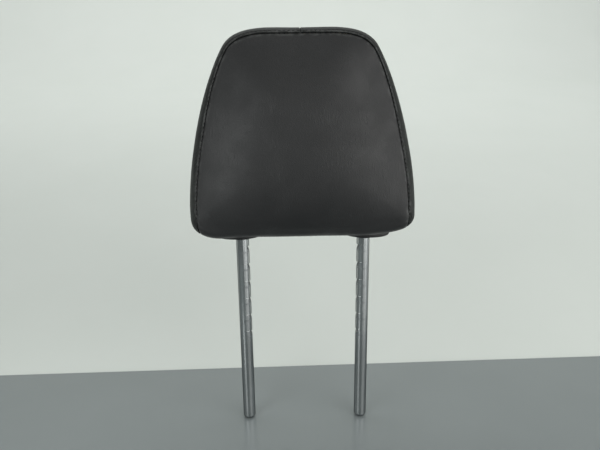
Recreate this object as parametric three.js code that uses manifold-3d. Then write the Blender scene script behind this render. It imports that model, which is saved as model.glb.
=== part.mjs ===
// Car seat head restraint: a leather covered pad on two notched steel posts.
// Millimetres. +Z runs up the posts, -Y is the side that faces the occupant's head, +X is to the right
// of somebody who looks at that side. The origin lies midway between the lower ends of the two posts.
import * as THREE from "three";
import { mergeVertices } from "three/addons/utils/BufferGeometryUtils.js";
import Module from "manifold-3d";

const wasm = await Module();
wasm.setup();

// ---------------------------------------------------------------- driving dimensions

// Posts and cross tube: one welded steel stay
const POST_SPACING = 132;
const POST_DIAMETER = 14;
const POST_WALL = 2.6;
const POST_EXPOSED = 222;
const POST_INSERT = 108;
const TIP_ROUND = 4;
const TUBE_OVERHANG = 9;
const TUBE_WALL = 2;

// Height notches on the facing sides of the posts
const NOTCH_COUNT = 6;
const NOTCH_PITCH = 20;
const NOTCH_DEPTH = 1.9;
const NOTCH_FLOOR = 3;
const NOTCH_RAMP = 4.5;
const FIRST_NOTCH_DROP = 9;

// Pad envelope, over the leather
const PAD_WIDTH = 232;
const PAD_HEIGHT = 205;
const SHOULDER_WIDTH = 150;
const SHOULDER_DROP = 17;
const SHOULDER_LEAN = 30;
const TOP_FLAT_WIDTH = 60;
const BASE_FLAT_WIDTH = 120;
const BASE_CORNER_HEIGHT = 22;
const FRONT_SEAM_BASE = 45;
const FRONT_SEAM_TOP = 37;
const REAR_SEAM_BASE = 28;
const REAR_SEAM_TOP = 13;
const FRONT_CROWN = 19;
const REAR_CROWN = 14;
const BOXING_BULGE = 11;
const LEATHER = 1.3;
const PANEL_GAP = 0.4;

// Moulded carrier that clamps the stay inside the foam
const CARRIER_BASE_RISE = 12;
const CARRIER_TOP_RISE = 22;
const CARRIER_SIDE_MARGIN = 4;
const CARRIER_HALF_DEPTH = 13;
const CARRIER_CORNER = 12;
const CARRIER_POCKET_DEPTH = 10;
const CARRIER_RIB = 4;
const LINER_LENGTH = 24;
const LINER_WALL = 2;
const LINER_FROM_MIDDLE = 24;

// Carrier screws
const SCREW_SHANK = 4;
const SCREW_HEAD = 8;
const SCREW_HEAD_HEIGHT = 2.6;
const SCREW_REACH = 18;
const SCREW_COLUMN = 45;
const SCREW_ROW_RISE = 20;
const SCREW_ROW_BELOW_TOP = 7;
const SCREW_RECESS = 1.5;
const SCREW_RECESS_FLATS = 4;

// Escutcheon round each post, and the bush inside it
const BEZEL_THICKNESS = 5.6;
const BEZEL_LENGTH = 48;
const BEZEL_DEPTH = 34;
const BEZEL_CHAMFER = 1.8;
const BEZEL_OFFSET = 4;
const COLLAR_WALL = 2;
const COLLAR_LIP = 1.6;
const COLLAR_LIP_HEIGHT = 2.4;
const COLLAR_LIP_RISE = 4;
const BUSH_WALL = 1.5;
const BUSH_RECESS = 0.8;

// Interlocking strips that close the cover between the posts
const STRIP_END_CLEARANCE = 9;
const STRIP_FLANGE = 9;
const STRIP_THICKNESS = 1.5;
const STRIP_RISE = 7;

// Clearances
const SEAT_GAP = 0.3;

// Facets
const POST_FACETS = 24;
const SMALL_FACETS = 12;
const OUTLINE_POINTS = 48;

// ---------------------------------------------------------------- derived places

const postX = POST_SPACING / 2;
const postRadius = POST_DIAMETER / 2;
const padBase = POST_EXPOSED + BEZEL_THICKNESS + SEAT_GAP;
const padTop = padBase + PAD_HEIGHT;
const padMiddle = padBase + PAD_HEIGHT * 0.48;
const tubeHeight = POST_EXPOSED + POST_INSERT;
const tubeHalfLength = postX + TUBE_OVERHANG;
const tubeSeatRadius = postRadius + SEAT_GAP;
const carrierBase = padBase + CARRIER_BASE_RISE;
const carrierTop = tubeHeight + CARRIER_TOP_RISE;
const carrierHalfWidth = tubeHalfLength + SEAT_GAP + CARRIER_SIDE_MARGIN;
const linerRadius = postRadius + SEAT_GAP + LINER_WALL;
const bushInner = postRadius + SEAT_GAP;
const bushOuter = bushInner + BUSH_WALL;
const collarInner = bushOuter + SEAT_GAP;
const collarOuter = collarInner + COLLAR_WALL;
const collarTop = carrierBase - SEAT_GAP;

// ---------------------------------------------------------------- solids

const material = (color, roughness, metalness) =>
  new THREE.MeshStandardMaterial({ color, roughness, metalness });

const chrome = material(0xc8ccce, 0.12, 1);
const plainSteel = material(0x8a8d90, 0.45, 1);
const screwZinc = material(0xa9adb0, 0.35, 1);
const leather = material(0x2e2f31, 0.55, 0);
const blackPlastic = material(0x17181a, 0.5, 0);
const carrierPlastic = material(0x3a3c3e, 0.6, 0);
const naturalPlastic = material(0xd6d2c4, 0.5, 0);
const rubber = material(0x1d1d1e, 0.85, 0);
const foam = material(0xb9b49a, 0.95, 0);

// A closed three.js geometry as a solid that can be joined and cut.
function solid(geometry) {
  const bare = geometry.index ? geometry.toNonIndexed() : geometry.clone();
  for (const name of Object.keys(bare.attributes)) {
    if (name !== "position") bare.deleteAttribute(name);
  }
  const merged = mergeVertices(bare, 1e-4);
  return new wasm.Manifold(
    new wasm.Mesh({
      numProp: 3,
      vertProperties: new Float32Array(merged.attributes.position.array),
      triVerts: new Uint32Array(merged.index.array),
    }),
  );
}

const cut = (body, ...tools) => tools.reduce((left, tool) => left.subtract(tool), body);
const join = (body, ...others) => others.reduce((sum, other) => sum.add(other), body);

function mesh(name, body, finish) {
  const { vertProperties, triVerts } = body.getMesh();
  const geometry = new THREE.BufferGeometry();
  geometry.setAttribute("position", new THREE.BufferAttribute(vertProperties, 3));
  geometry.setIndex(new THREE.BufferAttribute(triVerts, 1));
  geometry.computeVertexNormals();
  const piece = new THREE.Mesh(geometry, finish);
  piece.name = name;
  return piece;
}

function box(lowX, highX, lowY, highY, lowZ, highZ) {
  const geometry = new THREE.BoxGeometry(highX - lowX, highY - lowY, highZ - lowZ);
  return solid(geometry.translate((lowX + highX) / 2, (lowY + highY) / 2, (lowZ + highZ) / 2));
}

// A profile of [radius, height] points, turned about the Z axis.
function turned(profile, facets = POST_FACETS) {
  const points = profile.map(([radius, height]) => new THREE.Vector2(radius, height));
  return solid(new THREE.LatheGeometry(points, facets).rotateX(Math.PI / 2));
}

function rod(radius, lowZ, highZ, facets = POST_FACETS) {
  return turned([[0, lowZ], [radius, lowZ], [radius, highZ], [0, highZ]], facets);
}

function sleeve(inner, outer, lowZ, highZ, facets = POST_FACETS) {
  return turned(
    [[inner, lowZ], [outer, lowZ], [outer, highZ], [inner, highZ], [inner, lowZ]],
    facets,
  );
}

// Turns a solid that stands along Z so that it lies along X, at the cross tube's height.
const alongTube = (body) => body.rotate([0, 90, 0]).translate([0, 0, tubeHeight]);

// A shape drawn in X and Z, made solid from lowY to highY.
function slab(shape, lowY, highY) {
  const geometry = new THREE.ExtrudeGeometry(shape, {
    depth: highY - lowY,
    bevelEnabled: false,
    curveSegments: 6,
  });
  return solid(geometry.rotateX(Math.PI / 2).translate(0, highY, 0));
}

// A shape drawn in Y and Z, made solid along X.
function strip(points, halfLength) {
  const shape = new THREE.Shape(points.map(([y, z]) => new THREE.Vector2(y, z)));
  const geometry = new THREE.ExtrudeGeometry(shape, { depth: 2 * halfLength, bevelEnabled: false });
  geometry.rotateX(Math.PI / 2).rotateZ(Math.PI / 2);
  return solid(geometry.translate(-halfLength, 0, 0));
}

function roundedRectangle(halfWidth, low, high, corner) {
  const shape = new THREE.Shape();
  shape.moveTo(-halfWidth + corner, low);
  shape.lineTo(halfWidth - corner, low);
  shape.absarc(halfWidth - corner, low + corner, corner, -Math.PI / 2, 0);
  shape.absarc(halfWidth - corner, high - corner, corner, 0, Math.PI / 2);
  shape.absarc(-halfWidth + corner, high - corner, corner, Math.PI / 2, Math.PI);
  shape.absarc(-halfWidth + corner, low + corner, corner, Math.PI, 1.5 * Math.PI);
  return shape;
}

// ---------------------------------------------------------------- pad form

// The pad's outline in X and Z: flat base, rounded lower corners, sides that lean in, rounded
// shoulders and an almost flat top.
function padOutline() {
  const half = PAD_WIDTH / 2;
  const sideBase = padBase + BASE_CORNER_HEIGHT;
  const shoulderX = SHOULDER_WIDTH / 2;
  const shoulderZ = padTop - SHOULDER_DROP;
  const sideLength = shoulderZ - sideBase;
  const lean = THREE.MathUtils.degToRad(SHOULDER_LEAN);
  const along = (length) => [Math.sin(lean) * length, Math.cos(lean) * length];
  const [inLower, downLower] = along(0.29 * sideLength);
  const [inUpper, upUpper] = along(0.9 * SHOULDER_DROP);
  const right = new THREE.Path();
  right.moveTo(0, padBase);
  right.lineTo(BASE_FLAT_WIDTH / 2, padBase);
  right.bezierCurveTo(half - 16, padBase, half, padBase + 6, half, sideBase);
  right.bezierCurveTo(
    half, sideBase + 0.26 * sideLength,
    shoulderX + inLower, shoulderZ - downLower,
    shoulderX, shoulderZ,
  );
  right.bezierCurveTo(
    shoulderX - inUpper, shoulderZ + upUpper,
    TOP_FLAT_WIDTH / 2 + 20, padTop,
    TOP_FLAT_WIDTH / 2, padTop,
  );
  right.lineTo(0, padTop);
  const rightPoints = right.getSpacedPoints(OUTLINE_POINTS / 2);
  const leftPoints = rightPoints.slice(1, -1).reverse();
  return [...rightPoints, ...leftPoints.map((p) => new THREE.Vector2(-p.x, p.y))];
}

const outline = padOutline();
const seamScale = 1 - BOXING_BULGE / (PAD_WIDTH / 2);

// An outline point drawn in towards the pad's middle.
function drawnIn(point, scale) {
  return new THREE.Vector2(point.x * scale, padMiddle + (point.y - padMiddle) * scale);
}

// Where the front and rear seams lie at height z: the pad is thinner at its top.
function seamPlanes(z) {
  const rise = THREE.MathUtils.clamp((z - padBase) / PAD_HEIGHT, 0, 1);
  return {
    front: -THREE.MathUtils.lerp(FRONT_SEAM_BASE, FRONT_SEAM_TOP, rise),
    rear: THREE.MathUtils.lerp(REAR_SEAM_BASE, REAR_SEAM_TOP, rise),
  };
}

// How far the base's underside has curved up at depth y.
function baseLift(y) {
  const { front, rear } = seamPlanes(padBase);
  const sine = (y - (front + rear) / 2) / ((rear - front) / 2);
  return (padMiddle - padBase) * (1 - seamScale) * (1 - Math.sqrt(1 - sine ** 2));
}

// The pad's skin as rings from the middle of the back, over the boxing, to the middle of the front.
const crownSteps = [0, 0.35, 0.6, 0.8, 0.93, 1];
const boxingAngles = [60, 28, 0, -28, -60];

function ringList() {
  const rings = crownSteps.map((share) => ({
    scale: seamScale * share,
    depth: (planes) => planes.rear + REAR_CROWN * (1 - share ** 3),
  }));
  for (const degrees of boxingAngles) {
    const angle = THREE.MathUtils.degToRad(degrees);
    rings.push({
      scale: seamScale + (1 - seamScale) * Math.cos(angle),
      depth: (planes) =>
        (planes.front + planes.rear) / 2 + ((planes.rear - planes.front) / 2) * Math.sin(angle),
    });
  }
  for (const share of [...crownSteps].reverse()) {
    rings.push({
      scale: seamScale * share,
      depth: (planes) => planes.front - FRONT_CROWN * (1 - share ** 3),
    });
  }
  return rings;
}

// A lathe turned body whose round rings are squared off to the pad's outline. Each skin point is
// then moved in along its normal by inset.
function padForm(inset) {
  const rings = ringList();
  const profile = rings.map((ring, index) => new THREE.Vector2(ring.scale, index));
  const geometry = new THREE.LatheGeometry(profile, OUTLINE_POINTS);
  const position = geometry.attributes.position;
  for (let i = 0; i < position.count; i += 1) {
    const ringIndex = i % rings.length;
    const around = Math.floor(i / rings.length) % OUTLINE_POINTS;
    const ring = rings[ringIndex];
    const place = drawnIn(outline[around], ring.scale);
    position.setXYZ(i, place.x, ring.depth(seamPlanes(place.y)), place.y);
  }
  for (const name of ["normal", "uv"]) geometry.deleteAttribute(name);
  const skin = mergeVertices(geometry, 1e-3);
  skin.computeVertexNormals();
  const { position: at, normal } = skin.attributes;
  for (let i = 0; i < at.count; i += 1) {
    at.setXYZ(
      i,
      at.getX(i) - inset * normal.getX(i),
      at.getY(i) - inset * normal.getY(i),
      at.getZ(i) - inset * normal.getZ(i),
    );
  }
  skin.deleteAttribute("normal");
  return solid(skin);
}

// The seam outline, with its sides carried straight down past the base, widened by grow.
function seamShape(grow) {
  const footX = (PAD_WIDTH / 2) * seamScale + grow;
  const footZ = padBase + BASE_CORNER_HEIGHT + 6;
  const scale = seamScale + grow / (PAD_WIDTH / 2);
  const arch = outline.map((point) => drawnIn(point, scale)).filter((point) => point.y > footZ);
  const shape = new THREE.Shape();
  shape.moveTo(footX, padBase - 20);
  for (const point of arch) shape.lineTo(point.x, point.y);
  shape.lineTo(-footX, padBase - 20);
  return shape;
}

// ---------------------------------------------------------------- steel stay

// One post, standing at x = 0, notched on its +X side.
function post() {
  const tip = [[0, 0], [postRadius - TIP_ROUND, 0]];
  for (const degrees of [22.5, 45, 67.5, 90]) {
    const angle = THREE.MathUtils.degToRad(degrees);
    tip.push([
      postRadius - TIP_ROUND + TIP_ROUND * Math.sin(angle),
      TIP_ROUND - TIP_ROUND * Math.cos(angle),
    ]);
  }
  const bore = postRadius - POST_WALL;
  const closedEnd = TIP_ROUND + POST_WALL;
  const tube = turned([...tip, [postRadius, tubeHeight], [bore, tubeHeight], [bore, closedEnd], [0, closedEnd]]);
  const notches = [];
  for (let i = 0; i < NOTCH_COUNT; i += 1) {
    const top = POST_EXPOSED - FIRST_NOTCH_DROP - i * NOTCH_PITCH;
    const floorX = postRadius - NOTCH_DEPTH;
    const shape = new THREE.Shape();
    shape.moveTo(floorX, top);
    shape.lineTo(floorX, top - NOTCH_FLOOR);
    shape.lineTo(postRadius + 0.5, top - NOTCH_FLOOR - NOTCH_RAMP);
    shape.lineTo(postRadius + 0.5, top);
    notches.push(slab(shape, -postRadius, postRadius));
  }
  const saddle = alongTube(rod(tubeSeatRadius, -postRadius * 2, postRadius * 2));
  return cut(tube, saddle, ...notches);
}

// Mirrors a solid that belongs to the left post over to the right one.
const mirrored = (body) => body.mirror([1, 0, 0]);

function stay() {
  const leftPost = post().translate([-postX, 0, 0]);
  const tube = alongTube(sleeve(postRadius - TUBE_WALL, postRadius, -tubeHalfLength, tubeHalfLength));
  return [
    mesh("left_post", leftPost, chrome),
    mesh("right_post", mirrored(leftPost), chrome),
    mesh("cross_tube", tube, plainSteel),
  ];
}

// ---------------------------------------------------------------- carrier

const screwRows = [carrierBase + SCREW_ROW_RISE, carrierTop - SCREW_ROW_BELOW_TOP];
const screwPlaces = screwRows.flatMap((z) => [-SCREW_COLUMN, 0, SCREW_COLUMN].map((x) => [x, z]));
const screwHeadSeat = CARRIER_HALF_DEPTH - SCREW_HEAD_HEIGHT - SEAT_GAP;

// Turns a solid that stands along Z so that +Z becomes +Y, then moves it to a screw's place.
const atScrew = (body, [x, z]) => body.rotate([-90, 0, 0]).translate([x, 0, z]);

// Hollows that leave ribs between them on the outside of one half of the carrier.
function carrierPockets(outerY, innerY) {
  const middles = [-SCREW_COLUMN / 2, SCREW_COLUMN / 2];
  const lowZ = screwRows[0] + SCREW_HEAD / 2 + CARRIER_RIB;
  const highZ = tubeHeight - linerRadius - CARRIER_RIB;
  const halfWidth = SCREW_COLUMN / 2 - CARRIER_RIB / 2;
  return middles.map((x) =>
    box(x - halfWidth, x + halfWidth, Math.min(outerY, innerY), Math.max(outerY, innerY), lowZ, highZ),
  );
}

function carrier() {
  const shape = roundedRectangle(carrierHalfWidth, carrierBase, carrierTop, CARRIER_CORNER);
  const channels = [
    rod(tubeSeatRadius, 0, tubeHeight).translate([-postX, 0, 0]),
    rod(tubeSeatRadius, 0, tubeHeight).translate([postX, 0, 0]),
    alongTube(rod(tubeSeatRadius, -tubeHalfLength - SEAT_GAP, tubeHalfLength + SEAT_GAP)),
  ];
  for (const side of [-1, 1]) {
    const reach = LINER_LENGTH / 2 + SEAT_GAP;
    const channel = alongTube(rod(linerRadius + SEAT_GAP, -reach, reach));
    channels.push(channel.translate([side * LINER_FROM_MIDDLE, 0, 0]));
  }
  const shankHoles = screwPlaces.map((place) =>
    atScrew(rod(SCREW_SHANK / 2 + SEAT_GAP, -screwHeadSeat, CARRIER_HALF_DEPTH + 1, SMALL_FACETS), place),
  );
  const headHoles = screwPlaces.map((place) =>
    atScrew(
      rod(SCREW_HEAD / 2 + SEAT_GAP, screwHeadSeat - SEAT_GAP, CARRIER_HALF_DEPTH + 1, SMALL_FACETS),
      place,
    ),
  );
  const floorY = CARRIER_HALF_DEPTH - CARRIER_POCKET_DEPTH;
  const front = cut(
    slab(shape, -CARRIER_HALF_DEPTH, -SEAT_GAP / 2),
    ...channels,
    ...shankHoles,
    ...carrierPockets(-CARRIER_HALF_DEPTH - 1, -floorY),
  );
  const rear = cut(
    slab(shape, SEAT_GAP / 2, CARRIER_HALF_DEPTH),
    ...channels,
    ...shankHoles,
    ...headHoles,
    ...carrierPockets(floorY, CARRIER_HALF_DEPTH + 1),
  );
  return [
    mesh("carrier_front", front, carrierPlastic),
    mesh("carrier_rear", rear, carrierPlastic),
  ];
}

function screws() {
  const shankEnd = screwHeadSeat - SCREW_REACH;
  const headTop = screwHeadSeat + SCREW_HEAD_HEIGHT;
  const blank = turned(
    [
      [0, shankEnd],
      [SCREW_SHANK / 2 - 0.8, shankEnd],
      [SCREW_SHANK / 2, shankEnd + 2],
      [SCREW_SHANK / 2, screwHeadSeat],
      [SCREW_HEAD / 2, screwHeadSeat],
      [SCREW_HEAD / 2, headTop - 1],
      [SCREW_HEAD / 2 - 1, headTop],
      [0, headTop],
    ],
    SMALL_FACETS,
  );
  const recess = rod(SCREW_RECESS_FLATS / 2, headTop - SCREW_RECESS, headTop + 1, 6);
  const screw = cut(blank, recess);
  return screwPlaces.map((place, index) =>
    mesh(`carrier_screw_${index + 1}`, atScrew(screw, place), screwZinc),
  );
}

function tubeLiners() {
  const liner = sleeve(tubeSeatRadius, linerRadius, -LINER_LENGTH / 2, LINER_LENGTH / 2);
  return [-1, 1].map((side) =>
    mesh(
      side < 0 ? "tube_liner_left" : "tube_liner_right",
      alongTube(liner).translate([side * LINER_FROM_MIDDLE, 0, 0]),
      rubber,
    ),
  );
}

// ---------------------------------------------------------------- post entries

function bezels() {
  const halfLength = BEZEL_LENGTH / 2 - BEZEL_CHAMFER;
  const halfDepth = BEZEL_DEPTH / 2 - BEZEL_CHAMFER;
  const flangeShape = new THREE.Shape();
  flangeShape.absellipse(0, 0, halfLength, halfDepth, 0, 2 * Math.PI);
  const flange = new THREE.ExtrudeGeometry(flangeShape, {
    depth: BEZEL_THICKNESS - BEZEL_CHAMFER,
    bevelEnabled: true,
    bevelSize: BEZEL_CHAMFER,
    bevelThickness: BEZEL_CHAMFER,
    bevelSegments: 2,
    curveSegments: SMALL_FACETS,
  });
  const rounded = solid(flange.translate(-postX - BEZEL_OFFSET, 0, POST_EXPOSED + BEZEL_CHAMFER));
  const lipTop = collarTop - COLLAR_LIP_RISE;
  const collar = turned([
    [0, POST_EXPOSED],
    [collarOuter, POST_EXPOSED],
    [collarOuter, lipTop - COLLAR_LIP_HEIGHT],
    [collarOuter + COLLAR_LIP, lipTop - COLLAR_LIP_HEIGHT],
    [collarOuter, lipTop],
    [collarOuter, collarTop],
    [0, collarTop],
  ]).translate([-postX, 0, 0]);
  const flangeTop = box(
    -postX - BEZEL_OFFSET - BEZEL_LENGTH, -postX - BEZEL_OFFSET + BEZEL_LENGTH,
    -BEZEL_DEPTH, BEZEL_DEPTH,
    POST_EXPOSED + BEZEL_THICKNESS, POST_EXPOSED + 2 * BEZEL_THICKNESS,
  );
  const bore = rod(collarInner, POST_EXPOSED - 1, collarTop + 1).translate([-postX, 0, 0]);
  const left = cut(join(cut(rounded, flangeTop), collar), bore);
  const bushBase = POST_EXPOSED + BUSH_RECESS;
  const leftBush = sleeve(bushInner, bushOuter, bushBase, collarTop).translate([-postX, 0, 0]);
  return [
    mesh("left_bezel", left, blackPlastic),
    mesh("right_bezel", mirrored(left), blackPlastic),
    mesh("left_post_bush", leftBush, naturalPlastic),
    mesh("right_post_bush", mirrored(leftBush), naturalPlastic),
  ];
}

// ---------------------------------------------------------------- foam and cover

const leatherInner = LEATHER;
const foamInset = LEATHER + SEAT_GAP;
const openingHalfWidth = carrierHalfWidth + SEAT_GAP;
const openingHalfDepth = CARRIER_HALF_DEPTH + SEAT_GAP;

function foamCore() {
  const cavityShape = roundedRectangle(
    openingHalfWidth,
    carrierBase - SEAT_GAP,
    carrierTop + SEAT_GAP,
    CARRIER_CORNER,
  );
  const cavity = slab(cavityShape, -openingHalfDepth, openingHalfDepth);
  const collarReach = collarOuter + COLLAR_LIP + SEAT_GAP;
  const mouthHalfDepth = Math.max(openingHalfDepth, collarReach);
  const mouthHalfWidth = Math.max(openingHalfWidth, postX + collarReach);
  const mouth = box(
    -mouthHalfWidth, mouthHalfWidth,
    -mouthHalfDepth, mouthHalfDepth,
    padBase - 1, carrierBase + CARRIER_CORNER,
  );
  return [mesh("foam_core", cut(padForm(foamInset), join(cavity, mouth)), foam)];
}

function cover() {
  const shell = cut(padForm(0), padForm(leatherInner));
  const far = PAD_WIDTH;
  const frontArch = slab(seamShape(-PANEL_GAP / 2), -far, -PANEL_GAP / 2);
  const rearArch = slab(seamShape(-PANEL_GAP / 2), PANEL_GAP / 2, far);
  const wholeArch = slab(seamShape(PANEL_GAP / 2), -far, far);
  const collarHoles = [-postX, postX].map((x) =>
    rod(collarOuter + COLLAR_LIP + SEAT_GAP, POST_EXPOSED, carrierBase).translate([x, 0, 0]),
  );
  const boxing = cut(shell, wholeArch);
  const leftHalf = box(-far, -PANEL_GAP / 2, -far, far, 0, 2 * padTop);
  const rightHalf = box(PANEL_GAP / 2, far, -far, far, 0, 2 * padTop);
  return [
    mesh("cover_front", cut(shell.intersect(frontArch), ...collarHoles), leather),
    mesh("cover_back", cut(shell.intersect(rearArch), ...collarHoles), leather),
    mesh("cover_boxing_left", boxing.intersect(leftHalf), leather),
    mesh("cover_boxing_right", boxing.intersect(rightHalf), leather),
  ];
}

// The front strip hooks over the rear one; both lie on the inside of the cover's turned-in edges.
function closureStrips() {
  const halfLength = postX - collarOuter - COLLAR_LIP - STRIP_END_CLEARANCE;
  const t = STRIP_THICKNESS;
  const g = SEAT_GAP;
  const frontLow = padBase + Math.max(baseLift(-STRIP_FLANGE), baseLift(0)) + LEATHER + 2 * g;
  const low = padBase + baseLift(STRIP_FLANGE) + LEATHER + 2 * g;
  const top = low + STRIP_RISE;
  const wall = -t / 2 - g;
  const lip = t / 2 + g;
  const front = [
    [-STRIP_FLANGE, frontLow],
    [wall, frontLow],
    [wall, top - t],
    [lip, top - t],
    [lip, low + t + g],
    [lip + t, low + t + g],
    [lip + t, top],
    [wall - t, top],
    [wall - t, frontLow + t],
    [-STRIP_FLANGE, frontLow + t],
  ];
  const rear = [
    [-t / 2, low],
    [STRIP_FLANGE, low],
    [STRIP_FLANGE, low + t],
    [t / 2, low + t],
    [t / 2, top - t - g],
    [-t / 2, top - t - g],
  ];
  return [
    mesh("closure_strip_front", strip(front, halfLength), blackPlastic),
    mesh("closure_strip_rear", strip(rear, halfLength), blackPlastic),
  ];
}

// ---------------------------------------------------------------- assembly

const headRestraint = new THREE.Group();
headRestraint.name = "head_restraint";
headRestraint.add(
  ...stay(),
  ...carrier(),
  ...screws(),
  ...tubeLiners(),
  ...bezels(),
  ...foamCore(),
  ...cover(),
  ...closureStrips(),
);

export default headRestraint;
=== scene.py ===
"""Looks for a car seat head restraint: a sewn leather pad on two chromed, notched posts.

Lengths are in millimetres, as in the CAD part, until mesh_object() turns them into metres.
+Z runs up the posts, -Y is the side that faces the head, +X is to the right seen from there.
"""

import math

import bmesh
import bpy
import numpy as np
from mathutils import Matrix, Vector, kdtree, noise


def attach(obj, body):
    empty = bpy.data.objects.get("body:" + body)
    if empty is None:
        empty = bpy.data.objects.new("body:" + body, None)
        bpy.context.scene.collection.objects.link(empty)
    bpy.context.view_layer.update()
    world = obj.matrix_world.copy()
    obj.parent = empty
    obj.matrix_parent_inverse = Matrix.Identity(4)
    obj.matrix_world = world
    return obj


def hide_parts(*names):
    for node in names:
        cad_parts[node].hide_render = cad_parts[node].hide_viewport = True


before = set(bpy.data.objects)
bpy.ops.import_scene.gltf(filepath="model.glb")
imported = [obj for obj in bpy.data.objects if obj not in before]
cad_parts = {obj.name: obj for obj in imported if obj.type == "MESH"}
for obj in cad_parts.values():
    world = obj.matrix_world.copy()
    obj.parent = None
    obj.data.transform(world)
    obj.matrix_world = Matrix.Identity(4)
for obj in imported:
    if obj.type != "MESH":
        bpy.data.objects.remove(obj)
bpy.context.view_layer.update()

MM = 0.001

# Stay
POST_X = 66.0
POST_RADIUS = 7.0
POST_BORE = 4.4
POST_EXPOSED = 222.0
TUBE_HEIGHT = 330.0
TIP_ROUND = 4.0
NOTCH_COUNT = 6
NOTCH_PITCH = 20.0
NOTCH_DEPTH = 1.9
FIRST_NOTCH_TOP = POST_EXPOSED - 9.0

# Pad form
PAD_BASE = 227.9
PAD_TOP = PAD_BASE + 205.0
PAD_MIDDLE = PAD_BASE + 0.48 * 205.0
PAD_HALF = 116.0
SIDE_BASE = PAD_BASE + 22.0
SHOULDER = (75.0, PAD_TOP - 17.0)
SEAM_SCALE = 1 - 11.0 / PAD_HALF
FRONT_CROWN = 19.0
REAR_CROWN = 14.0
SEAM_SIDE = PAD_HALF * SEAM_SCALE

# Sewing
LEATHER = 1.1
STITCH_ROW = 2.7
STITCH_PITCH = 4.2
STITCH_LENGTH = 3.2
THREAD = 0.34


# ---------------------------------------------------------------- camera, floor and light


def camera():
    """The photo's viewpoint: half a metre in front, a little above the pad's middle, looking down."""
    pitch, yaw, roll = (math.radians(a) for a in (13.66, -0.57, -0.7))
    right = Vector((math.cos(yaw), math.sin(yaw), 0))
    ahead = Vector(
        (-math.sin(yaw) * math.cos(pitch), math.cos(yaw) * math.cos(pitch), -math.sin(pitch))
    )
    up = right.cross(ahead)
    turned_right = math.cos(roll) * right + math.sin(roll) * up
    turned_up = -math.sin(roll) * right + math.cos(roll) * up
    data = bpy.data.cameras.new("camera")
    data.lens, data.sensor_width = 28.8, 36
    data.clip_start, data.clip_end = 0.01, 20
    eye = bpy.data.objects.new("camera", data)
    eye.matrix_world = Matrix.Translation(Vector((-8, -507, 358)) * MM) @ Matrix(
        (turned_right, turned_up, -ahead)
    ).transposed().to_4x4()
    bpy.context.scene.collection.objects.link(eye)
    bpy.context.scene.camera = eye


def area_light(name, place, target, size, power, colour=(1, 1, 1)):
    data = bpy.data.lights.new(name, "AREA")
    data.shape, data.size, data.size_y = "RECTANGLE", *size
    data.energy, data.color = power, colour
    lamp = bpy.data.objects.new(name, data)
    lamp.location = place
    lamp.rotation_euler = (Vector(target) - Vector(place)).to_track_quat("-Z", "Y").to_euler()
    bpy.context.scene.collection.objects.link(lamp)


camera()
bpy.context.scene.view_settings.view_transform = "Standard"


# ---------------------------------------------------------------- node materials


class Finish:
    """A node material with a Principled shader, and short ways to add texture nodes to it."""

    def __init__(self, name, **constants):
        self.material = bpy.data.materials.new(name)
        self.material.use_nodes = True
        self.nodes = self.material.node_tree.nodes
        self.links = self.material.node_tree.links
        self.shader = self.nodes["Principled BSDF"]
        for socket, value in constants.items():
            self.shader.inputs[socket.replace("_", " ")].default_value = value
        self.place = self.nodes.new("ShaderNodeTexCoord").outputs["Object"]

    def add(self, kind, inputs=None, **settings):
        node = self.nodes.new("ShaderNode" + kind)
        for key, value in settings.items():
            setattr(node, key, value)
        for key, value in (inputs or {}).items():
            if isinstance(value, bpy.types.NodeSocket):
                self.links.new(value, node.inputs[key])
            else:
                node.inputs[key].default_value = value
        return node

    def stretched(self, scale):
        return self.add("Mapping", {"Vector": self.place, "Scale": scale}).outputs[0]

    def noise(self, scale, detail=3.0, roughness=0.5, place=None, distortion=0.0):
        inputs = {
            "Vector": place or self.place, "Scale": scale, "Detail": detail,
            "Roughness": roughness, "Distortion": distortion,
        }
        return self.add("TexNoise", inputs).outputs["Fac"]

    def cells(self, scale, feature="F1", place=None, smooth=None):
        inputs = {"Vector": place or self.place, "Scale": scale}
        if smooth is not None:
            inputs["Smoothness"] = smooth
        return self.add("TexVoronoi", inputs, feature=feature).outputs["Distance"]

    def span(self, value, low, high, to_low=0.0, to_high=1.0):
        inputs = {
            "Value": value, "From Min": low, "From Max": high, "To Min": to_low, "To Max": to_high,
        }
        return self.add("MapRange", inputs, interpolation_type="SMOOTHSTEP").outputs["Result"]

    def maths(self, operation, a, b):
        return self.add("Math", {0: a, 1: b}, operation=operation).outputs[0]

    def blend(self, share, a, b):
        node = self.add("Mix", data_type="RGBA")
        for socket, value in zip((node.inputs[0], node.inputs[6], node.inputs[7]), (share, a, b)):
            if isinstance(value, bpy.types.NodeSocket):
                self.links.new(value, socket)
            else:
                socket.default_value = value if isinstance(value, float) else (*value, 1.0)
        return node.outputs[2]

    def colour(self, output):
        self.links.new(output, self.shader.inputs["Base Color"])

    def rough(self, output):
        self.links.new(output, self.shader.inputs["Roughness"])

    def bump(self, *layers):
        """Each layer is a height, its depth in metres, and its strength."""
        normal = None
        for height, depth, strength in layers:
            inputs = {"Height": height, "Distance": depth, "Strength": strength}
            if normal:
                inputs["Normal"] = normal
            normal = self.add("Bump", inputs).outputs[0]
        self.links.new(normal, self.shader.inputs["Normal"])


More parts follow.
